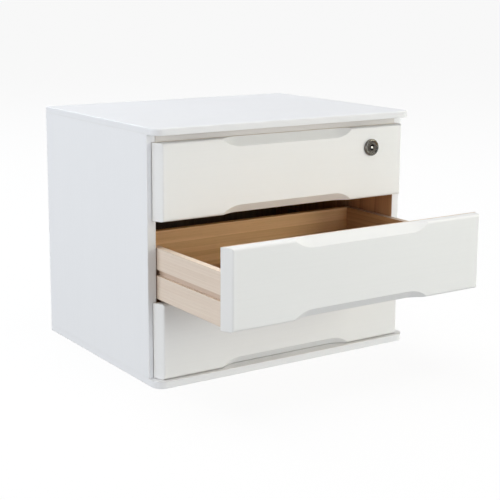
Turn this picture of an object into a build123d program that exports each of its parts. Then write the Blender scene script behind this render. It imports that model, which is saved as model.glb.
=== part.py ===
from build123d import *
import os
from math import asin, degrees, radians, tan

# A desktop cabinet of painted board with three drawers on wooden runners. The middle drawer stands open.
# Millimetres. The origin is the centre of the footprint, on the surface that the cabinet stands on: +X is
# to the right, +Y to the back and +Z up, and the drawers open towards -Y.

os.makedirs("parts", exist_ok=True)

# ---------------------------------------------------------------- driving dimensions

# Cabinet
cabinet_width = 388.0
cabinet_depth = 300.0
cabinet_height = 314.0
top_thickness = 8.5
base_thickness = 8.8
side_thickness = 11.5
lip = 21.0  # the top and the base stand out this far past the sides' front edges
corner_radius = 14.0  # front corners of the top and the base, seen from above
top_rounding = 1.6  # all round the upper edge of the top
side_rounding = 1.0  # front edges of the sides

back_thickness = 3.0
back_inset = 6.0  # from the rear edges to the back panel
back_tongue = 5.0  # depth of the groove that holds the back panel
board_play = 0.1  # at each face of a thin board in its groove
tongue_play = 0.3  # between the edge of a thin board and the floor of its groove

rail_height = 24.5
rail_thickness = 14.0

# Drawer fronts, three of one height
front_gap = 3.1  # between one front and the next
floor_gap = 0.5  # between the lowest front and the base
head_gap = 9.5  # between the highest front and the top
front_inset = 6.0  # from the cabinet's side to the end of a front
front_standoff = 1.0  # between a shut front and the front edges of the cabinet's sides
front_thickness = 15.0
end_bevel = 6.5  # how far each end slopes in across the thickness
front_rounding = 3.0  # round the face of a front
scoop_length = 200.0  # along the edge
scoop_floor = 144.0  # the level part of a scoop
scoop_drop = 11.0  # on the face
scoop_depth = 11.0  # into the thickness
scoop_overrun = 20.0  # degrees that the arc of a ramp runs on past the front's edge
cut_overrun = 1.0  # of a cut, past the surface where it starts or ends

# Drawer boxes
box_lift = 0.8  # of the box's lower edge over the front's
box_height = 62.5
box_rear_room = 28.0  # between the box of a shut drawer and the back panel
box_board = 8.5
box_play = 1.0  # between the box and the cabinet's side
bottom_thickness = 3.0
bottom_height = 5.0  # from the box's lower edge to the groove of the bottom
bottom_tongue = 4.0

# Runners
runner_height = 7.0
runner_level = 33.1  # its middle over the lower edge of the front
runner_setback = 6.0  # behind the front edge of the cabinet's side
runner_rear_step = 9.0  # from the rear end of a runner to the rear of a shut drawer's box
runner_lead = 2.5  # bevel at the end where the drawer goes in
groove_depth = 4.0
runner_play = 0.3  # above and below the runner
runner_end_play = 0.4  # between the runner and the floor of its groove

# Travel
middle_opening = 149.5  # how far out the middle drawer stands

# Dowels, screws and brads
glue_gap = 0.05
dowel_radius = 3.0
panel_dowel_length = 18.0
panel_dowel_bite = 5.5  # into the top and the base
panel_dowel_spacing = 105.0
rail_dowel_radius = 2.5
rail_dowel_length = 20.0
rail_dowel_bite = 8.0  # into the cabinet's side
front_dowel_length = 28.0
front_dowel_bite = 10.0  # into the front
box_fixing_low = 16.0  # over the box's lower edge, as is the next
box_fixing_high = 48.0
screw_radius = 1.5
screw_head_radius = 3.0
box_screw_length = 26.0
runner_screw_length = 12.0
runner_screw_radius = 1.2
runner_screw_head_radius = 2.4
runner_screw_spacing = 180.0
brad_radius = 0.8
brad_head_radius = 1.7
brad_length = 15.0
brad_spacing = 120.0
head_angle = 90.0  # of every countersunk head

# Lock
lock_inset = 57.8  # from the end of the front to the lock's axis
lock_rail_gap = 1.9  # between the rail and the lock's nut
bezel_radius = 11.0
bezel_height = 3.4
bezel_rim = 1.4  # rounding of the bezel's rim
bezel_dish_radius = 9.0  # the hollow in the bezel's face
bezel_dish_depth = 1.3
bezel_dish_slope = 45.0
barrel_radius = 8.0
barrel_fit = 0.2
nut_width = 20.0  # across its flats
nut_thickness = 4.0
plug_radius = 5.6
plug_fit = 0.1
plug_rise = 0.4  # of the plug's face over the floor of the hollow
keyway_outer_radius = 3.7
keyway_inner_radius = 1.8
keyway_depth = 6.0
keyway_notch = 1.6
cam_square = 7.0
cam_square_play = 0.1
cam_thickness = 2.0
cam_width = 13.0
cam_length = 24.0  # from the axis to the tip
cam_gap = 0.5  # between the barrel's end and the cam
cam_clearance = 1.0  # between the rail and the cam when it is turned up
cam_screw_radius = 2.0
cam_screw_length = 8.0
cam_screw_head_radius = 4.0
cam_screw_head_height = 2.2
cam_screw_head_rounding = 0.7

# ---------------------------------------------------------------- places that pieces share

rear = cabinet_depth / 2
side_front = lip - cabinet_depth / 2
side_mid = (side_front + rear) / 2
top_underside = cabinet_height - top_thickness
rail_underside = top_underside - rail_height
inner_width = cabinet_width - 2 * side_thickness
side_centre = (cabinet_width - side_thickness) / 2
back_y = rear - back_inset - back_thickness

front_height = (top_underside - base_thickness - floor_gap - head_gap - 2 * front_gap) / 3
front_pitch = front_height + front_gap
bottom_level = base_thickness + floor_gap
middle_level = bottom_level + front_pitch
top_level = middle_level + front_pitch

front_width = cabinet_width - 2 * front_inset
face_y = side_front - front_standoff - front_thickness
box_rear = back_y - box_rear_room
box_depth = box_rear - side_front + front_standoff
box_width = inner_width - 2 * box_play
box_inner_width = box_width - 2 * box_board
box_side_centre = (box_width - box_board) / 2
box_back_y = box_rear - box_board / 2
bottom_z = bottom_height + board_play

runner_thickness = box_play + groove_depth - runner_end_play
runner_length = box_rear - runner_rear_step - side_front - runner_setback
runner_middle = side_front + runner_setback + runner_length / 2

lock_x = front_width / 2 - lock_inset
lock_z = rail_underside - lock_rail_gap - nut_width / 2
barrel_length = front_thickness + front_standoff + rail_thickness + cam_clearance - cam_gap

sides = (("left", -1), ("right", 1))
drawers = (("top", top_level, 0.0), ("middle", middle_level, middle_opening), ("bottom", bottom_level, 0.0))


# ---------------------------------------------------------------- shared operations


def keep(piece, name):
    """Label a finished piece and write it."""
    piece.part.label = name
    export_step(piece.part, f"parts/{name}.step")


def slab(plane, width, depth, height, mode=Mode.ADD):
    """A rectangular board or cut, centred on a plane and as high as its normal says."""
    with BuildSketch(plane) as outline:
        Rectangle(width, depth)
    extrude(outline.sketch, amount=height, mode=mode)


def pins(plane, spots, radius, length, mode=Mode.ADD):
    """Round pins, or the holes for them, at spots on a plane."""
    with BuildSketch(plane) as outline:
        with Locations(*spots):
            Circle(radius)
    extrude(outline.sketch, amount=length, mode=mode)


def countersunk(heads, shank_radius, head_radius, length):
    """Screws or brads whose heads lie flush in the planes given, which face outwards."""
    hanging = (Align.CENTER, Align.CENTER, Align.MAX)
    head_height = (head_radius - shank_radius) / tan(radians(head_angle / 2))
    with Locations(*heads):
        Cylinder(shank_radius, length, align=hanging)
        Cone(shank_radius, head_radius, head_height, align=hanging)


def countersinks(heads, shank_radius, head_radius, length):
    """The holes for such screws or brads."""
    with Locations(*heads):
        CounterSinkHole(shank_radius + glue_gap, head_radius + glue_gap, length, head_angle)


def plan(x, y, z):
    """A plane that looks up."""
    return Plane(origin=(x, y, z), x_dir=(1, 0, 0), z_dir=(0, 0, 1))


def backwards(x, y, z):
    """A plane that looks to the back, with its Y axis up."""
    return Plane(origin=(x, y, z), x_dir=(-1, 0, 0), z_dir=(0, 1, 0))


def sideways(x, y, z, way):
    """A plane that looks along X, to the right for 1 and to the left for -1, with its Y axis up."""
    return Plane(origin=(x, y, z), x_dir=(0, way, 0), z_dir=(way, 0, 0))


# ---------------------------------------------------------------- cabinet

panel_dowel_spots = [
    (side * side_centre, row * panel_dowel_spacing) for _, side in sides for row in (-1, 0, 1)
]
rail_dowel_spots = [(side_front + rail_thickness / 2, rail_underside + rail_height / 2)]


def footprint():
    """The plan of the top and the base: square at the back, rounded at the front."""
    Rectangle(cabinet_width, cabinet_depth)
    fillet(vertices().group_by(Axis.Y)[0], corner_radius)


with BuildPart() as top_panel:
    with BuildSketch(Plane.XY.offset(top_underside)):
        footprint()
    extrude(amount=top_thickness)
    fillet(faces().sort_by(Axis.Z)[-1].edges(), top_rounding)
    slab(
        plan(0, back_y + back_thickness / 2, top_underside),
        inner_width + 2 * back_tongue,
        back_thickness + 2 * board_play,
        back_tongue,
        Mode.SUBTRACT,
    )
    pins(
        plan(0, side_mid, top_underside),
        panel_dowel_spots,
        dowel_radius + glue_gap,
        panel_dowel_bite + glue_gap,
        Mode.SUBTRACT,
    )
keep(top_panel, "top_panel")

with BuildPart() as base_panel:
    with BuildSketch():
        footprint()
    extrude(amount=base_thickness)
    slab(
        plan(0, back_y + back_thickness / 2, base_thickness - back_tongue),
        inner_width + 2 * back_tongue,
        back_thickness + 2 * board_play,
        back_tongue,
        Mode.SUBTRACT,
    )
    pins(
        plan(0, side_mid, base_thickness - panel_dowel_bite - glue_gap),
        panel_dowel_spots,
        dowel_radius + glue_gap,
        panel_dowel_bite + glue_gap,
        Mode.SUBTRACT,
    )
keep(base_panel, "base_panel")

# Each level has a runner on either side, held by two screws.
runner_screw_heads = {
    (level, side): [
        sideways(
            side * (inner_width / 2 - runner_thickness),
            runner_middle + row * runner_screw_spacing / 2,
            level + runner_level,
            -side,
        )
        for row in (-1, 1)
    ]
    for _, level, _ in drawers
    for _, side in sides
}

panel_dowel_hole = panel_dowel_length - panel_dowel_bite + glue_gap
for side_name, side in sides:
    with BuildPart() as side_panel:
        slab(
            plan(side * side_centre, side_mid, base_thickness),
            side_thickness,
            rear - side_front,
            top_underside - base_thickness,
        )
        fillet(edges().filter_by(Axis.Z).group_by(Axis.Y)[0], side_rounding)
        slab(
            plan(
                side * (inner_width + back_tongue) / 2,
                back_y + back_thickness / 2,
                base_thickness,
            ),
            back_tongue,
            back_thickness + 2 * board_play,
            top_underside - base_thickness,
            Mode.SUBTRACT,
        )
        for end in (base_thickness, top_underside - panel_dowel_hole):
            pins(
                plan(0, side_mid, end),
                [spot for spot in panel_dowel_spots if spot[0] * side > 0],
                dowel_radius + glue_gap,
                panel_dowel_hole,
                Mode.SUBTRACT,
            )
        pins(
            sideways(side * inner_width / 2, 0, 0, side),
            [(side * y, z) for y, z in rail_dowel_spots],
            rail_dowel_radius + glue_gap,
            rail_dowel_bite + glue_gap,
            Mode.SUBTRACT,
        )
        for _, level, _ in drawers:
            countersinks(
                runner_screw_heads[level, side],
                runner_screw_radius,
                runner_screw_head_radius,
                runner_screw_length + glue_gap,
            )
    keep(side_panel, f"{side_name}_side_panel")

with BuildPart() as back_panel:
    slab(
        plan(0, back_y + back_thickness / 2, base_thickness - back_tongue + tongue_play),
        inner_width + 2 * (back_tongue - tongue_play),
        back_thickness,
        top_underside - base_thickness + 2 * (back_tongue - tongue_play),
    )
keep(back_panel, "back_panel")

with BuildPart() as top_rail:
    slab(
        plan(0, side_front + rail_thickness / 2, rail_underside),
        inner_width,
        rail_thickness,
        rail_height,
    )
    for _, side in sides:
        pins(
            sideways(side * inner_width / 2, 0, 0, -side),
            [(-side * y, z) for y, z in rail_dowel_spots],
            rail_dowel_radius + glue_gap,
            rail_dowel_length - rail_dowel_bite + glue_gap,
            Mode.SUBTRACT,
        )
keep(top_rail, "top_rail")

with BuildPart() as rail_dowels:
    for _, side in sides:
        pins(
            sideways(side * (inner_width / 2 + rail_dowel_bite), 0, 0, -side),
            [(-side * y, z) for y, z in rail_dowel_spots],
            rail_dowel_radius,
            rail_dowel_length,
        )
keep(rail_dowels, "rail_dowels")

with BuildPart() as top_dowels:
    pins(
        plan(0, side_mid, top_underside + panel_dowel_bite - panel_dowel_length),
        panel_dowel_spots,
        dowel_radius,
        panel_dowel_length,
    )
keep(top_dowels, "top_dowels")

with BuildPart() as base_dowels:
    pins(
        plan(0, side_mid, base_thickness - panel_dowel_bite),
        panel_dowel_spots,
        dowel_radius,
        panel_dowel_length,
    )
keep(base_dowels, "base_dowels")

for drawer_name, level, _ in drawers:
    for side_name, side in sides:
        with BuildPart() as runner:
            slab(
                plan(
                    side * (inner_width - runner_thickness) / 2,
                    runner_middle,
                    level + runner_level - runner_height / 2,
                ),
                runner_thickness,
                runner_length,
                runner_height,
            )
            front_edges = edges().filter_by(Axis.Z).group_by(Axis.Y)[0]
            chamfer(front_edges.sort_by(Axis.X)[0 if side > 0 else -1], runner_lead)
            countersinks(
                runner_screw_heads[level, side],
                runner_screw_radius,
                runner_screw_head_radius,
                runner_screw_length,
            )
        keep(runner, f"{side_name}_{drawer_name}_runner")

with BuildPart() as runner_screws:
    for heads in runner_screw_heads.values():
        countersunk(
            heads, runner_screw_radius, runner_screw_head_radius, runner_screw_length
        )
keep(runner_screws, "runner_screws")

# ---------------------------------------------------------------- drawers

scoop_ramp = (scoop_length - scoop_floor) / 2
ramp_radius = (scoop_ramp**2 + scoop_drop**2) / (2 * scoop_drop)
ramp_sweep = degrees(asin(scoop_ramp / ramp_radius)) + scoop_overrun


def scoop_section(face, edge_z, upper, depth):
    """The outline of a finger scoop at a depth behind a front's face, closed beyond the front's edge."""
    outwards = (0, -1, 0) if upper else (0, 1, 0)
    shrink = scoop_drop * depth / scoop_depth
    floor_level = shrink - scoop_drop
    section_plane = Plane(origin=(0, face + depth, edge_z), x_dir=(1, 0, 0), z_dir=outwards)
    with BuildSketch(section_plane) as section:
        with BuildLine():
            floor = Line((-scoop_floor / 2, floor_level), (scoop_floor / 2, floor_level))
            right = JernArc(floor @ 1, floor % 1, ramp_radius - shrink, ramp_sweep)
            left = JernArc(floor @ 0, -(floor % 0), ramp_radius - shrink, -ramp_sweep)
            Line(right @ 1, left @ 1)
        make_face()
    return section.sketch


def cut_scoop(face, edge_z, upper):
    """Cut a finger scoop into a front's upper or lower edge, its floor and ramps all sloping alike."""
    depths = (-cut_overrun, scoop_depth + cut_overrun)
    sections = [scoop_section(face, edge_z, upper, depth) for depth in depths]
    loft(sections, ruled=True, mode=Mode.SUBTRACT)


def make_drawer(name, level, opening):
    """One drawer: its front, the box behind it, and what holds them together."""
    back_of_front = side_front - front_standoff - opening
    box_middle = back_of_front + box_depth / 2
    back_piece_y = box_back_y - opening
    box_low = level + box_lift
    fixing_levels = (box_low + box_fixing_low, box_low + box_fixing_high)
    bottom_low = box_low + bottom_height
    bottom_slot = bottom_thickness + 2 * board_play

    with BuildPart() as front:
        with BuildSketch(Plane.XY.offset(level)):
            with BuildLine():
                Polyline(
                    (-front_width / 2, back_of_front),
                    (front_width / 2, back_of_front),
                    (front_width / 2 - end_bevel, back_of_front - front_thickness),
                    (end_bevel - front_width / 2, back_of_front - front_thickness),
                    close=True,
                )
            make_face()
        extrude(amount=front_height)
        fillet(faces().sort_by(Axis.Y)[0].edges(), front_rounding)
        cut_scoop(back_of_front - front_thickness, level + front_height, upper=True)
        cut_scoop(back_of_front - front_thickness, level, upper=False)
        slab(
            plan(0, back_of_front - bottom_tongue / 2, bottom_low),
            box_inner_width + 2 * bottom_tongue,
            bottom_tongue,
            bottom_slot,
            Mode.SUBTRACT,
        )
        pins(
            backwards(0, back_of_front - front_dowel_bite - glue_gap, 0),
            [(-side * box_side_centre, height) for _, side in sides for height in fixing_levels],
            dowel_radius + glue_gap,
            front_dowel_bite + glue_gap,
            Mode.SUBTRACT,
        )
        if name == "top":
            pins(
                backwards(lock_x, back_of_front - front_thickness, lock_z),
                [(0, 0)],
                barrel_radius + barrel_fit,
                front_thickness,
                Mode.SUBTRACT,
            )
    keep(front, f"{name}_drawer_front")

    screw_heads = {
        side: [
            sideways(side * box_width / 2, back_piece_y, height, side) for height in fixing_levels
        ]
        for _, side in sides
    }
    for side_name, side in sides:
        with BuildPart() as box_side:
            slab(
                plan(side * box_side_centre, box_middle, box_low), box_board, box_depth, box_height
            )
            slab(
                plan(
                    side * (box_width - groove_depth) / 2,
                    box_middle,
                    level + runner_level - runner_height / 2 - runner_play,
                ),
                groove_depth,
                box_depth,
                runner_height + 2 * runner_play,
                Mode.SUBTRACT,
            )
            slab(
                plan(side * (box_inner_width + bottom_tongue) / 2, box_middle, bottom_low),
                bottom_tongue,
                box_depth,
                bottom_slot,
                Mode.SUBTRACT,
            )
            pins(
                backwards(0, back_of_front, 0),
                [(-side * box_side_centre, height) for height in fixing_levels],
                dowel_radius + glue_gap,
                front_dowel_length - front_dowel_bite + glue_gap,
                Mode.SUBTRACT,
            )
            countersinks(screw_heads[side], screw_radius, screw_head_radius, box_screw_length)
        keep(box_side, f"{name}_drawer_{side_name}_side")

    brad_heads = [
        Plane(
            origin=(row * brad_spacing, back_piece_y, box_low + bottom_z),
            x_dir=(1, 0, 0),
            z_dir=(0, 0, -1),
        )
        for row in (-1, 0, 1)
    ]
    with BuildPart() as box_back:
        slab(
            plan(0, back_piece_y, box_low + bottom_z + bottom_thickness),
            box_inner_width,
            box_board,
            box_height - bottom_z - bottom_thickness,
        )
        for _, side in sides:
            countersinks(
                screw_heads[side], screw_radius, screw_head_radius, box_screw_length + glue_gap
            )
        countersinks(brad_heads, brad_radius, brad_head_radius, brad_length + glue_gap)
    keep(box_back, f"{name}_drawer_back")

    bottom_reach = bottom_tongue - tongue_play
    with BuildPart() as box_bottom:
        slab(
            plan(0, box_middle - bottom_reach / 2, box_low + bottom_z),
            box_inner_width + 2 * bottom_reach,
            box_depth + bottom_reach,
            bottom_thickness,
        )
        countersinks(brad_heads, brad_radius, brad_head_radius, brad_length)
    keep(box_bottom, f"{name}_drawer_bottom")

    with BuildPart() as dowels:
        pins(
            backwards(0, back_of_front - front_dowel_bite, 0),
            [(side * box_side_centre, height) for _, side in sides for height in fixing_levels],
            dowel_radius,
            front_dowel_length,
        )
    keep(dowels, f"{name}_drawer_dowels")

    with BuildPart() as screws:
        for _, side in sides:
            countersunk(screw_heads[side], screw_radius, screw_head_radius, box_screw_length)
    keep(screws, f"{name}_drawer_screws")

    with BuildPart() as brads:
        countersunk(brad_heads, brad_radius, brad_head_radius, brad_length)
    keep(brads, f"{name}_drawer_brads")


for drawer_name, level, opening in drawers:
    make_drawer(drawer_name, level, opening)

# ---------------------------------------------------------------- lock

# The axis points out of the front, towards the user.
lock_face = Plane(origin=(lock_x, face_y, lock_z), x_dir=(1, 0, 0), z_dir=(0, -1, 0))
plug_front = bezel_height - bezel_dish_depth + plug_rise
cam_hole = cam_square + 2 * cam_square_play
cam_plane = lock_face.offset(-barrel_length - cam_gap - cam_thickness)  # the cam's rear face

with BuildPart() as lock_body:
    with BuildSketch(lock_face.offset(-barrel_length)):
        Circle(barrel_radius)
    extrude(amount=barrel_length)
    with BuildSketch(lock_face):
        Circle(bezel_radius)
    extrude(amount=bezel_height)
    fillet(faces().sort_by(Axis.Y)[0].edges(), bezel_rim)
    with BuildSketch(lock_face.offset(bezel_height)):
        Circle(bezel_dish_radius)
    extrude(amount=-bezel_dish_depth, taper=bezel_dish_slope, mode=Mode.SUBTRACT)
    with BuildSketch(lock_face.offset(bezel_height)):
        Circle(plug_radius + plug_fit)
    extrude(amount=-bezel_height - barrel_length, mode=Mode.SUBTRACT)
keep(lock_body, "lock_body")

with BuildPart() as lock_nut:
    with BuildSketch(lock_face.offset(-front_thickness - nut_thickness)):
        RegularPolygon(nut_width / 2, 6, major_radius=False)
        Circle(barrel_radius + glue_gap, mode=Mode.SUBTRACT)
    extrude(amount=nut_thickness)
keep(lock_nut, "lock_nut")

with BuildPart() as lock_plug:
    with BuildSketch(lock_face.offset(-barrel_length - cam_gap)):
        Circle(plug_radius)
    extrude(amount=barrel_length + cam_gap + plug_front)
    with BuildSketch(cam_plane):
        Rectangle(cam_square, cam_square)
    extrude(amount=cam_thickness)
    with BuildSketch(lock_face.offset(plug_front)):
        Circle(keyway_outer_radius)
        Circle(keyway_inner_radius, mode=Mode.SUBTRACT)
        with Locations((0, keyway_outer_radius)):
            Rectangle(keyway_notch, keyway_notch)
    extrude(amount=-keyway_depth, mode=Mode.SUBTRACT)
    with BuildSketch(cam_plane):
        Circle(cam_screw_radius + glue_gap)
    extrude(amount=cam_screw_length, mode=Mode.SUBTRACT)
keep(lock_plug, "lock_plug")

with BuildPart() as lock_cam:
    with BuildSketch(cam_plane):
        with Locations(((cam_width / 2 - cam_length) / 2, 0)):
            SlotOverall(cam_length + cam_width / 2, cam_width)
        Rectangle(cam_hole, cam_hole, mode=Mode.SUBTRACT)
    extrude(amount=cam_thickness)
keep(lock_cam, "lock_cam")

with BuildPart() as lock_cam_screw:
    with BuildSketch(cam_plane):
        Circle(cam_screw_radius)
    extrude(amount=cam_screw_length - glue_gap)
    with BuildSketch(cam_plane):
        Circle(cam_screw_head_radius)
    extrude(amount=-cam_screw_head_height)
    fillet(faces().sort_by(Axis.Y)[-1].edges(), cam_screw_head_rounding)
keep(lock_cam_screw, "lock_cam_screw")
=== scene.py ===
import math
import bpy
from mathutils import Matrix, Vector


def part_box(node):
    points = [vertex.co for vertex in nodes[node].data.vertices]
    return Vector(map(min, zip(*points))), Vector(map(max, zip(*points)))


# A desktop cabinet of white painted board, with three drawers of bare wood and a lock of plated metal.
# The frame gives every piece its shape. Here are the finishes, the camera, the lights and the floor.
# Metres: +X is to the right, +Y to the back and +Z up.

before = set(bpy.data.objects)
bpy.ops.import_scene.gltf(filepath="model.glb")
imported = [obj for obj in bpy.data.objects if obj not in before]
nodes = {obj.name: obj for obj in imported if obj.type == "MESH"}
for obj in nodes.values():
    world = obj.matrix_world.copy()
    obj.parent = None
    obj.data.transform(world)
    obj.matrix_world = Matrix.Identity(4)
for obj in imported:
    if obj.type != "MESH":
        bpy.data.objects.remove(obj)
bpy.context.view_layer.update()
scene = bpy.context.scene

# ---------------------------------------------------------------- camera

CAMERA_PLACE = (-0.857219, -1.326565, 0.478051)
YAW, PITCH, ROLL = -0.580267858, 0.190541196, 0.00344484065  # radians
SENSOR_WIDTH = 36.0  # millimetres, as the next
FOCAL_LENGTH = 85.19
SHIFT_X, SHIFT_Y = 0.03203, -0.07668  # shares of the picture's width
FARTHEST = 200.0  # that the camera sees


def add_camera():
    """The camera looks at the cabinet from the left of its front and a little from above."""
    back = Vector((math.sin(YAW) * math.cos(PITCH), -math.cos(YAW) * math.cos(PITCH), math.sin(PITCH)))
    right = (-back).cross(Vector((0, 0, 1))).normalized()
    up = right.cross(-back).normalized()
    rolled_right = math.cos(ROLL) * right + math.sin(ROLL) * up
    rolled_up = math.cos(ROLL) * up - math.sin(ROLL) * right
    turn = Matrix((rolled_right, rolled_up, back)).transposed().to_4x4()
    camera = bpy.data.objects.new("camera", bpy.data.cameras.new("camera"))
    camera.matrix_world = Matrix.Translation(CAMERA_PLACE) @ turn
    camera.data.sensor_width = SENSOR_WIDTH
    camera.data.lens = FOCAL_LENGTH
    camera.data.shift_x = SHIFT_X
    camera.data.shift_y = SHIFT_Y
    camera.data.clip_end = FARTHEST
    scene.collection.objects.link(camera)
    bpy.context.scene.camera = camera


add_camera()

# ---------------------------------------------------------------- light

LIGHT_AIM = Vector((0, -0.1, 0.15))  # near the middle of the cabinet's front
HORIZON = 0.05  # the light from below gives way to that from above this far either side of level

scene.view_settings.view_transform = "Standard"


def add_world(above, below):
    """Light from all around, stronger from below, where a pale table throws light back."""
    world = bpy.data.worlds.new("studio")
    world.use_nodes = True
    tree = world.node_tree
    background = tree.nodes["Background"]
    background.inputs["Color"].default_value = (1, 1, 1, 1)
    direction = tree.nodes.new("ShaderNodeTexCoord")
    parts = tree.nodes.new("ShaderNodeSeparateXYZ")
    strength = tree.nodes.new("ShaderNodeMapRange")
    limits = {"From Min": -HORIZON, "From Max": HORIZON, "To Min": below, "To Max": above}
    for key, value in limits.items():
        strength.inputs[key].default_value = value
    tree.links.new(direction.outputs["Generated"], parts.inputs[0])
    tree.links.new(parts.outputs["Z"], strength.inputs["Value"])
    tree.links.new(strength.outputs["Result"], background.inputs["Strength"])
    scene.world = world


def add_softbox(name, place, size, power, colour):
    """A round softbox, of a diameter in metres and a power in watts, that looks at the cabinet's front."""
    light = bpy.data.lights.new(name, "AREA")
    light.shape = "DISK"
    light.size = size
    light.energy = power
    light.color = colour
    lamp = bpy.data.objects.new(name, light)
    lamp.location = place
    lamp.rotation_euler = (LIGHT_AIM - Vector(place)).to_track_quat("-Z", "Y").to_euler()
    scene.collection.objects.link(lamp)


add_world(above=0.12, below=0.46)
add_softbox("front_low", place=(0.6, -3.4, 0.5), size=1.4, power=34, colour=(0.88, 0.93, 1.0))
add_softbox("front_right", place=(2.2, -2.4, 0.9), size=1.4, power=40, colour=(1.0, 0.98, 0.82))
add_softbox("left_low", place=(-3.0, -0.5, 0.55), size=1.3, power=29, colour=(1.0, 0.99, 0.96))
add_softbox("left_back", place=(-2.6, 1.2, 0.9), size=1.4, power=30, colour=(0.82, 0.9, 1.0))
add_softbox("right_low", place=(3.0, -0.6, 0.5), size=1.3, power=19, colour=(0.95, 1.0, 0.92))
add_softbox("overhead", place=(0.0, 0.0, 3.0), size=3.0, power=64, colour=(1.0, 0.98, 0.97))
add_softbox("rear", place=(0.0, 2.0, 2.4), size=2.0, power=34, colour=(0.83, 0.91, 1.0))

# ---------------------------------------------------------------- floor

FLOOR_TURNS = 48  # faces around
FLOOR_HUB = 0.5  # radius of the one face in the middle
FLOOR_RADIUS = 14.0
SWEEP_RADIUS = 6.0  # of the curve in which the floor rises to the backdrop
SWEEP_STEPS = 9
BACKDROP_HEIGHT = 20.0
FLOOR_DROP = 0.0002  # under the base, so that the two don't share a plane
FLOOR_COLOUR = (0.06, 0.06, 0.06, 1)
FLOOR_ROUGHNESS = 0.9
FLOOR_GLOW = 0.93  # seen by the camera alone


def sweep_profile():
    """Distance from the middle and height, from the floor's middle out and up the backdrop."""
    curve = [math.radians(90 * step / SWEEP_STEPS) for step in range(SWEEP_STEPS + 1)]
    rise = [(FLOOR_RADIUS + SWEEP_RADIUS * math.sin(a), SWEEP_RADIUS * (1 - math.cos(a))) for a in curve]
    return [(FLOOR_HUB, 0.0), *rise, (FLOOR_RADIUS + SWEEP_RADIUS, BACKDROP_HEIGHT)]


def floor_material():
    """A pale floor: it is seen as nearly white, and darker only where the cabinet shades it."""
    material = bpy.data.materials.new("floor")
    material.use_nodes = True
    shader = material.node_tree.nodes["Principled BSDF"]
    shader.inputs["Base Color"].default_value = FLOOR_COLOUR
    shader.inputs["Roughness"].default_value = FLOOR_ROUGHNESS
    shader.inputs["Specular IOR Level"].default_value = 0.0
    shader.inputs["Emission Color"].default_value = (1, 1, 1, 1)
    shader.inputs["Emission Strength"].default_value = FLOOR_GLOW
    return material


def add_floor():
    """A seamless floor and backdrop. It takes the cabinet's shadow and throws no light on the cabinet."""
    profile = sweep_profile()
    turns = [2 * math.pi * turn / FLOOR_TURNS for turn in range(FLOOR_TURNS)]
    points = [(r * math.cos(angle), r * math.sin(angle), z) for r, z in profile for angle in turns]
    quads = []
    for ring in range(len(profile) - 1):
        inner, outer = ring * FLOOR_TURNS, (ring + 1) * FLOOR_TURNS
        for turn in range(FLOOR_TURNS):
            after = (turn + 1) % FLOOR_TURNS
            quads.append((inner + turn, outer + turn, outer + after, inner + after))
    mesh = bpy.data.meshes.new("floor")
    mesh.from_pydata(points, [], [tuple(range(FLOOR_TURNS)), *quads])
    mesh.shade_smooth()
    mesh.materials.append(floor_material())
    floor = bpy.data.objects.new("floor", mesh)
    floor.location.z = -FLOOR_DROP
    floor.visible_diffuse = False
    floor.visible_glossy = False
    floor.visible_shadow = False
    scene.collection.objects.link(floor)


add_floor()

# ---------------------------------------------------------------- nodes of a material

AXES = "XYZ"

# Sockets of the mix node, which has one pair for numbers and one for colours
MIX_SHARE, NUMBER_A, NUMBER_B, COLOUR_A, COLOUR_B = 0, 2, 3, 6, 7
NUMBER_RESULT, COLOUR_RESULT = 0, 2

BEVEL_SAMPLES = 4
GAP_SAMPLES = 8


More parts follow.
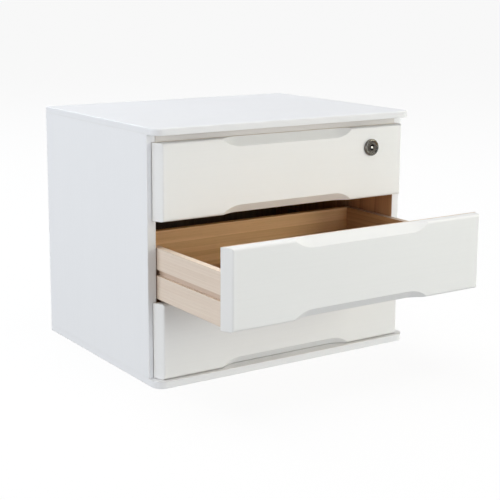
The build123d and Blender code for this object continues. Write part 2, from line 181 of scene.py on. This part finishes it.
class Graph:
    """A material's nodes, made and linked in short calls. The seed sets where its patterns start."""

    def __init__(self, name, seed):
        self.material = bpy.data.materials.new(name)
        self.material.use_nodes = True
        self.tree = self.material.node_tree
        self.shader = self.tree.nodes["Principled BSDF"]
        self.seed = seed
        self.own = self.node("ShaderNodeTexCoord").outputs["Object"]

    def link(self, value, socket):
        """Another node's output or a plain value, to a socket."""
        if isinstance(value, bpy.types.NodeSocket):
            self.tree.links.new(value, socket)
        else:
            socket.default_value = value

    def node(self, kind, inputs=None, **settings):
        """A new node, with its inputs linked or set."""
        made = self.tree.nodes.new(kind)
        for key, value in settings.items():
            setattr(made, key, value)
        for key, value in (inputs or {}).items():
            self.link(value, made.inputs[key])
        return made

    def place(self, scale=(1, 1, 1), turn=(0, 0, 0), shift=None):
        """The piece's own coordinates, in metres, turned and stretched by a scale for each axis."""
        start = shift or (self.seed, self.seed * 0.7, self.seed * 0.3)
        inputs = {"Vector": self.own, "Scale": scale, "Rotation": turn, "Location": start}
        return self.node("ShaderNodeMapping", inputs).outputs["Vector"]

    def noise(self, vector, scale=1.0, detail=2.0, roughness=0.5, distortion=0.0):
        inputs = {
            "Vector": vector, "Scale": scale, "Detail": detail,
            "Roughness": roughness, "Distortion": distortion,
        }
        return self.node("ShaderNodeTexNoise", inputs).outputs["Fac"]

    def span(self, value, low, high, to_low=0.0, to_high=1.0):
        """The range from low to high, stretched to another range and held within it."""
        inputs = {"Value": value, "From Min": low, "From Max": high, "To Min": to_low, "To Max": to_high}
        return self.node("ShaderNodeMapRange", inputs, clamp=True).outputs["Result"]

    def maths(self, operation, a, b=0.0):
        return self.node("ShaderNodeMath", {0: a, 1: b}, operation=operation).outputs[0]

    def times(self, a, b):
        return self.maths("MULTIPLY", a, b)

    def total(self, *values):
        added = values[0]
        for value in values[1:]:
            added = self.maths("ADD", added, value)
        return added

    def mix(self, share, a, b):
        """A colour between two."""
        inputs = {MIX_SHARE: share, COLOUR_A: a, COLOUR_B: b}
        return self.node("ShaderNodeMix", inputs, data_type="RGBA").outputs[COLOUR_RESULT]

    def between(self, share, a, b):
        """A number between two."""
        inputs = {MIX_SHARE: share, NUMBER_A: a, NUMBER_B: b}
        return self.node("ShaderNodeMix", inputs).outputs[NUMBER_RESULT]

    def softened(self, radius):
        """The surface normal with the piece's edges rounded by a radius."""
        return self.node("ShaderNodeBevel", {"Radius": radius}, samples=BEVEL_SAMPLES).outputs["Normal"]

    def edges(self, radius):
        """1 on edges that stick out or in, 0 on the flats."""
        flat, turned = 0.998, 0.90  # cosines of the angle between the plain and the softened normal
        plain = self.node("ShaderNodeNewGeometry").outputs["Normal"]
        inputs = {0: self.softened(radius), 1: plain}
        cosine = self.node("ShaderNodeVectorMath", inputs, operation="DOT_PRODUCT").outputs["Value"]
        return self.span(cosine, flat, turned)

    def seams(self, reach):
        """A share for painted shade: 0 in the open, rising to 1 deep in a gap that is narrower than the
        reach.
        """
        clear, closed = 0.6, 0.25  # shares of the directions in which nothing is near
        free = self.node("ShaderNodeAmbientOcclusion", {"Distance": reach}, samples=GAP_SAMPLES)
        return self.span(free.outputs["AO"], clear, closed)

    def relief(self, height, softness):
        """A surface normal from a height in metres, with the piece's edges softened by a radius."""
        inputs = {"Height": height, "Distance": 1.0, "Strength": 1.0, "Normal": self.softened(softness)}
        return self.node("ShaderNodeBump", inputs).outputs["Normal"]

    def coordinate(self, axis):
        return self.node("ShaderNodeSeparateXYZ", {0: self.own}).outputs[axis]

    def off_middle(self):
        """Distance from the cabinet's middle plane."""
        return self.maths("ABSOLUTE", self.coordinate("X"))

    def facing(self, axis):
        """1 where the surface looks along an axis, -1 where it looks the other way."""
        normal = self.node("ShaderNodeNewGeometry").outputs["Normal"]
        return self.node("ShaderNodeSeparateXYZ", {0: normal}).outputs[axis]

    def looking_up(self, most=1.0):
        """The most where the surface is level or nearly so, and 0 where it is steep or looks down."""
        return self.span(self.facing("Z"), 0.5, 0.8, 0.0, most)

    def finish(self, **sockets):
        """The finished material. Each socket of its shader is named with _ for a space."""
        for key, value in sockets.items():
            self.link(value, self.shader.inputs[key.replace("_", " ")])
        return self.material


def along(axis, low, high):
    """Scales for a grain that runs along one axis: few changes along it and many across it."""
    return tuple(low if name == axis else high for name in AXES)


def colour(rgb, factor=1.0):
    """A colour as a shader takes it, with its red, green and blue times a factor."""
    return (*[channel * factor for channel in rgb], 1.0)


# ---------------------------------------------------------------- where a finish starts and ends

SKIN = 0.0003  # the finish of an inner face reaches this far past the face
RAIL_LAP = 0.002  # the rail's paint reaches this far behind its front face
GROOVE_LEVEL = 0.0005  # whatever lies deeper than this under a drawer side's outer face gets painted shade
ARRIS = 0.0034  # from the rear of a front to where its paint starts to give way to the pale painted highlight
ARRIS_FADE = 0.001  # from there to where it ends

side_low, side_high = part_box("right_side_panel")
back_low, back_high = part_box("back_panel")
rail_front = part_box("top_rail")[0].y
box_inner, box_outer = [corner.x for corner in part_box("middle_drawer_right_side")]

# Each function gives a share from 0 to 1 of the surface of a piece.


def before_back(g):
    """Everything in front of the back panel's rear face."""
    return g.maths("LESS_THAN", g.coordinate("Y"), back_high.y)


def between_sides(g):
    """The inner faces of the cabinet's sides, as far as the back panel."""
    within = g.maths("LESS_THAN", g.off_middle(), side_low.x + SKIN)
    return g.times(within, before_back(g))


def behind_fronts(g):
    """The inner faces of the top and the base, from the sides' front edges to the back panel."""
    height = g.span(g.coordinate("Z"), side_low.z, side_high.z, -1.0, 1.0)
    inwards = g.maths("LESS_THAN", g.times(g.facing("Z"), height), -0.5)
    inside = g.times(g.maths("GREATER_THAN", g.coordinate("Y"), side_low.y), before_back(g))
    return g.times(inwards, inside)


def behind_rail(g):
    """The rail's rear, and its upper and lower faces behind the paint."""
    return g.maths("GREATER_THAN", g.coordinate("Y"), rail_front + RAIL_LAP)


def in_drawer(g):
    """The inner faces of a drawer's sides."""
    return g.maths("LESS_THAN", g.off_middle(), box_inner + SKIN)


def in_groove(g):
    """The groove of a drawer's side, and whatever else lies between its outer and its inner face."""
    across = g.off_middle()
    below = g.maths("LESS_THAN", across, box_outer - GROOVE_LEVEL)
    return g.times(below, g.maths("GREATER_THAN", across, box_inner + SKIN))


def lit_rear_arris(level):
    """A painted highlight along the rear of the upper edge of one drawer's front, drawn as bare pale wood
    where the paint stops.
    """
    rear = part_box(f"{level}_drawer_front")[1].y

    def share(g):
        behind = g.span(g.coordinate("Y"), rear - ARRIS, rear - ARRIS + ARRIS_FADE)
        return g.times(g.looking_up(), behind)

    return share


def towards_drawers(g):
    """The front face of the back panel."""
    return g.maths("LESS_THAN", g.coordinate("Y"), back_low.y + SKIN)


# ---------------------------------------------------------------- colours

# Paints
BODY_PAINT = (0.815, 0.82, 0.835)
TOP_PAINT = (0.79, 0.795, 0.81)
FRONT_PAINT = (0.815, 0.815, 0.81)
# painted shade: the rail's paint darker and warmer than the body's, as under the top's lip
SHADED_RAIL_PAINT = (0.70, 0.67, 0.645)
# rubbed paint and painted highlight: the paler, warmer tone that edges turn towards in patches
RUBBED_AND_LIT_PAINT = (0.82, 0.77, 0.68)
# painted shade: the colour that the paint turns towards in seams and narrow gaps
SEAM_SHADE_COLOUR = (0.16, 0.13, 0.11)

# Woods and boards, each pale and dark
CASE_WOOD = (0.60, 0.33, 0.165), (0.38, 0.18, 0.08)
# brown hardboard, darkened nearly to black as painted shade of the cabinet's unlit inside
SHADED_HARDBOARD = (0.22, 0.14, 0.08), (0.13, 0.08, 0.05)
PALE_WOOD = (0.75, 0.645, 0.545), (0.66, 0.53, 0.43)
# painted shade: the inner faces of the drawers' sides, darker and browner than their outer faces
SHADED_INNER_WOOD = (0.52, 0.31, 0.15), (0.36, 0.19, 0.08)
BACK_WOOD = (0.86, 0.575, 0.30), (0.58, 0.335, 0.15)
PLYWOOD = (0.72, 0.50, 0.28), (0.56, 0.36, 0.19)
RUNNER_WOOD = (0.50, 0.33, 0.19), (0.34, 0.20, 0.10)
DOWEL_WOOD = (0.66, 0.50, 0.34), (0.50, 0.36, 0.22)
# painted highlight on the upper edges of the drawers' sides
TOP_EDGE_HIGHLIGHT = (0.95, 0.80, 0.65)
SHADED_GROOVE = (0.42, 0.28, 0.20)

# Metals
SCREW_STEEL = (0.55, 0.52, 0.47)
CAM_STEEL = (0.56, 0.56, 0.56)
# painted reflection: chrome and plating darkened to stand for the dark surroundings they mirror
DARK_CHROME = (0.20, 0.185, 0.165)
PLUG_PLATING = (0.16, 0.145, 0.13)
PIN_STEEL = (0.72, 0.70, 0.67)
RUBBED_METAL = (0.85, 0.84, 0.82)

# ---------------------------------------------------------------- paint

PAINT_SOFTNESS = 0.0008  # radius that the paint leaves on an edge


def paint_look(g, rgb, axis):
    """Satin paint on board: a faint grain under the film, fine orange peel, edges paler and warmer in
    patches as rubbed paint and painted highlight, and painted shade in its seams and gaps.
    """
    most_rubbed_and_lit, edge_band_width = 0.22, 0.0012
    most_seam_shade, seam_reach = 0.25, 0.002
    peel_height, fibre_height = 0.000012, 0.000015
    cloud = g.noise(g.place(), scale=9.0, detail=3.0)
    fibre = g.noise(g.place(along(axis, 6, 420)), detail=4.0, roughness=0.6)
    peel = g.noise(g.place(), scale=900.0)
    tone = g.mix(g.span(cloud, 0.3, 0.7), colour(rgb), colour(rgb, 0.985))
    tone = g.mix(g.span(fibre, 0.45, 0.75, 0.0, 0.3), tone, colour(rgb, 0.955))
    # rubbed paint and painted highlight on the edges, in patches
    patchy = g.span(g.noise(g.place(), scale=160.0, detail=4.0), 0.4, 0.62, 0.0, most_rubbed_and_lit)
    tone = g.mix(g.times(g.edges(edge_band_width), patchy), tone, colour(RUBBED_AND_LIT_PAINT))
    # painted shade: darker paint in seams and narrow gaps
    tone = g.mix(g.times(g.seams(seam_reach), most_seam_shade), tone, colour(SEAM_SHADE_COLOUR))
    rough = g.total(g.span(cloud, 0.3, 0.7, 0.40, 0.48), g.times(peel, 0.04))
    height = g.total(g.times(peel, peel_height), g.times(fibre, fibre_height))
    return tone, rough, height


def painted_board(name, seed, rgb, axis, bare, inside, specular=0.5):
    """Paint outside, and bare wood on the share of the surface that inside gives. On the drawers' fronts
    that share is a painted highlight.
    """
    g = Graph(name, seed)
    paint_tone, paint_rough, paint_height = paint_look(g, rgb, axis)
    wood_tone, wood_rough, wood_height = wood_look(g, *bare, axis)
    share = inside(g)
    tone = g.mix(share, paint_tone, wood_tone)
    rough = g.between(share, paint_rough, wood_rough)
    normal = g.relief(g.between(share, paint_height, wood_height), PAINT_SOFTNESS)
    return g.finish(Base_Color=tone, Roughness=rough, Normal=normal, Specular_IOR_Level=specular)


# ---------------------------------------------------------------- wood

WOOD_SOFTNESS = 0.0006  # radius of a sanded edge
RING_WAVE = math.pi / 10  # scale of a wave texture whose rings lie 1 m apart
SIDE_RING = 0.004  # from one growth ring to the next in a drawer's side


def wood_look(g, pale, dark, axis, ring=0.007, tilt=2.0, contrast=1.0, sway=5.0):
    """Bare wood: growth rings, cut by the face at a slant, with fine lines, fibres and short pores."""
    heart = 0.11 + 0.013 * g.seed  # how far off the rings' middle lies, along both axes across the grain
    line_height, fibre_height = 0.00006, 0.00005
    turn = tuple(0.0 if name == axis else math.radians(tilt) for name in AXES)
    shift = tuple(0.0 if name == axis else heart for name in AXES)
    ring_inputs = {
        "Vector": g.place(along(axis, 0.16, 1.0), turn, shift), "Scale": RING_WAVE / ring,
        "Distortion": sway, "Detail": 2.5, "Detail Scale": 0.22, "Detail Roughness": 0.55,
    }
    ring_kind = {"wave_type": "RINGS", "rings_direction": axis, "wave_profile": "SAW"}
    rings = g.node("ShaderNodeTexWave", ring_inputs, **ring_kind).outputs["Fac"]
    lines = g.noise(g.place(along(axis, 1.5, 210.0)), detail=3.0, roughness=0.6, distortion=0.25)
    fibre = g.noise(g.place(along(axis, 14.0, 1400.0)), detail=3.0, roughness=0.65)
    pores = g.span(g.noise(g.place(along(axis, 60.0, 2600.0))), 0.64, 0.72)
    patch = g.noise(g.place(along(axis, 2.5, 14.0)))
    grain = g.total(g.times(rings, 0.5), g.span(lines, 0.4, 0.66, 0.0, 0.5))
    grain = g.times(grain, g.span(patch, 0.3, 0.7, 0.55 * contrast, 1.1 * contrast))
    tone = g.mix(grain, colour(pale), colour(dark))
    tone = g.mix(g.span(fibre, 0.4, 0.7, 0.0, 0.22 * contrast), tone, colour(dark, 0.75))
    tone = g.mix(g.times(pores, 0.25 * contrast), tone, colour(dark, 0.5))
    rough = g.span(grain, 0.0, 1.0, 0.62, 0.5)
    height = g.total(g.times(fibre, fibre_height), g.times(lines, line_height))
    return tone, rough, height


def wood(name, seed, tones, axis, **figure):
    """One bare wood all over. The figure is what sets its growth rings apart from the usual ones."""
    g = Graph(name, seed)
    tone, rough, height = wood_look(g, *tones, axis, **figure)
    return g.finish(Base_Color=tone, Roughness=rough, Normal=g.relief(height, WOOD_SOFTNESS))


def drawer_side_wood(name, seed, top_highlight):
    """A drawer's side: pale outside, with painted shade making it brown inside and darker in its groove. A
    painted highlight makes its upper edge pale.
    """
    groove_shade = 0.45
    g = Graph(name, seed)
    outer_tone, rough, height = wood_look(g, *PALE_WOOD, "Y", ring=SIDE_RING)
    shaded_inner_tone, _, _ = wood_look(g, *SHADED_INNER_WOOD, "Y", ring=SIDE_RING)
    tone = g.mix(in_drawer(g), outer_tone, shaded_inner_tone)
    tone = g.mix(g.times(in_groove(g), groove_shade), tone, colour(SHADED_GROOVE))
    tone = g.mix(g.looking_up(top_highlight), tone, colour(TOP_EDGE_HIGHLIGHT))
    return g.finish(Base_Color=tone, Roughness=rough, Normal=g.relief(height, WOOD_SOFTNESS))


# ---------------------------------------------------------------- metal

METAL_SOFTNESS = 0.0002  # radius of a metal edge
METAL_SHADE_REACH = 0.0015  # gaps under this width get painted shade
PIN_RADIUS = 0.0019  # in the keyway of the lock
PIN_FADE = 0.0002  # from the pin's steel to the plating around it


def metal(name, seed, rgb, rough, brushed=None, wear=0.25):
    """Bare or plated metal with smudges, fine scratches, rubbed edges and painted shade in its gaps."""
    g = Graph(name, seed)
    scratch_scale = along(brushed, 60.0, 4000.0) if brushed else (900.0, 3000.0, 2200.0)
    scratch_height, edge_band_width = 0.000006, 0.0004
    smudge = g.noise(g.place(), scale=120.0, detail=3.0)
    scratch = g.noise(g.place(scratch_scale), detail=3.0, roughness=0.7)
    tone = g.mix(g.span(smudge, 0.35, 0.7, 0.0, 0.5), colour(rgb), colour(rgb, 0.8))
    tone = g.mix(g.times(g.edges(edge_band_width), wear), tone, colour(RUBBED_METAL))
    # painted shade in narrow gaps
    tone = g.mix(g.seams(METAL_SHADE_REACH), tone, colour(rgb, 0.3))
    roughness = g.total(g.span(smudge, 0.3, 0.7, rough * 0.8, rough * 1.3), g.times(scratch, 0.06))
    normal = g.relief(g.times(scratch, scratch_height), METAL_SOFTNESS)
    return g.finish(Base_Color=tone, Roughness=roughness, Normal=normal, Metallic=1.0)


def plug_metal(name, seed):
    """The plug of the lock: dark plating, darkened as a painted reflection of dark surroundings, a pin of
    bright steel within the ring of its keyway, and painted shade in its gaps.
    """
    low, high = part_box("lock_plug")
    middle = (low + high) / 2
    pin_roughness = 0.35
    g = Graph(name, seed)
    sideways = g.maths("POWER", g.maths("SUBTRACT", g.coordinate("X"), middle.x), 2.0)
    upwards = g.maths("POWER", g.maths("SUBTRACT", g.coordinate("Z"), middle.z), 2.0)
    pin = g.span(g.maths("SQRT", g.total(sideways, upwards)), PIN_RADIUS + PIN_FADE, PIN_RADIUS)
    smudge = g.noise(g.place(), scale=700.0, detail=3.0)
    tone = g.mix(g.span(smudge, 0.35, 0.7, 0.0, 0.5), colour(PLUG_PLATING), colour(PLUG_PLATING, 0.7))
    # painted shade in narrow gaps
    tone = g.mix(g.seams(METAL_SHADE_REACH), tone, colour(PLUG_PLATING, 0.3))
    tone = g.mix(pin, tone, colour(PIN_STEEL))
    roughness = g.between(pin, g.span(smudge, 0.3, 0.7, 0.15, 0.25), pin_roughness)
    normal = g.relief(0.0, METAL_SOFTNESS)
    return g.finish(Base_Color=tone, Roughness=roughness, Normal=normal, Metallic=1.0)


# ---------------------------------------------------------------- the finish of each piece

# The number after a material's name is its seed, and no two materials share one.
FRONT_SEEDS = {"top": 4.0, "middle": 5.0, "bottom": 6.0}
DOWEL_SEEDS = {"x": 12.0, "y": 13.0, "z": 14.0}  # by the axis that the dowels lie along

materials = {
    "top": painted_board("top_paint", 1.0, TOP_PAINT, "X", CASE_WOOD, behind_fronts, specular=0.2),
    "base": painted_board("base_paint", 19.0, BODY_PAINT, "X", CASE_WOOD, behind_fronts),
    "rail": painted_board("shaded_rail_paint", 20.0, SHADED_RAIL_PAINT, "X", CASE_WOOD, behind_rail),
    "side": painted_board("side_paint", 2.0, BODY_PAINT, "Z", CASE_WOOD, between_sides),
    "back": painted_board("back_paint", 7.0, BODY_PAINT, "Z", SHADED_HARDBOARD, towards_drawers),
    # painted highlight on the drawers' upper edges: strong on the left sides, faint on the right sides,
    # which lie in shade
    "left_side": drawer_side_wood("left_side_wood_lit", 8.0, top_highlight=0.9),
    "right_side": drawer_side_wood("right_side_wood_shaded", 21.0, top_highlight=0.2),
    "rear_wood": wood("rear_wood", 9.0, BACK_WOOD, "X", ring=0.014, tilt=4.0, contrast=1.15, sway=9.0),
    "bottom_wood": wood("bottom_wood", 10.0, PLYWOOD, "X", ring=0.016),
    "runner_wood": wood("runner_wood", 11.0, RUNNER_WOOD, "Y"),
    "screws": metal("screw_steel", 15.0, SCREW_STEEL, rough=0.32),
    "chrome": metal("lock_chrome", 16.0, DARK_CHROME, rough=0.16, wear=0.35),
    "plug": plug_metal("lock_plug_chrome", 17.0),
    "cam": metal("cam_steel", 18.0, CAM_STEEL, rough=0.3, brushed="X"),
}
for level, seed in FRONT_SEEDS.items():
    # painted highlight: pale wood along the rear of each front's upper edge
    look = (FRONT_PAINT, "X", PALE_WOOD, lit_rear_arris(level))
    materials[f"front_{level}"] = painted_board(f"front_paint_{level}", seed, *look)
for axis, seed in DOWEL_SEEDS.items():
    materials[f"dowel_{axis}"] = wood(f"dowel_wood_{axis}", seed, DOWEL_WOOD, axis.upper())

finishes = {
    "top_panel": "top", "base_panel": "base", "top_rail": "rail",
    "left_side_panel": "side", "right_side_panel": "side", "back_panel": "back",
    "rail_dowels": "dowel_x", "top_dowels": "dowel_z", "base_dowels": "dowel_z", "runner_screws": "screws",
    "lock_body": "chrome", "lock_nut": "chrome", "lock_plug": "plug",
    "lock_cam": "cam", "lock_cam_screw": "screws",
}
for level in FRONT_SEEDS:
    finishes[f"left_{level}_runner"] = "runner_wood"
    finishes[f"right_{level}_runner"] = "runner_wood"
    finishes[f"{level}_drawer_front"] = f"front_{level}"
    finishes[f"{level}_drawer_left_side"] = "left_side"
    finishes[f"{level}_drawer_right_side"] = "right_side"
    finishes[f"{level}_drawer_back"] = "rear_wood"
    finishes[f"{level}_drawer_bottom"] = "bottom_wood"
    finishes[f"{level}_drawer_dowels"] = "dowel_y"
    finishes[f"{level}_drawer_screws"] = "screws"
    finishes[f"{level}_drawer_brads"] = "screws"

for name, finish in finishes.items():
    mesh = nodes[name].data
    mesh.materials.clear()
    mesh.materials.append(materials[finish])
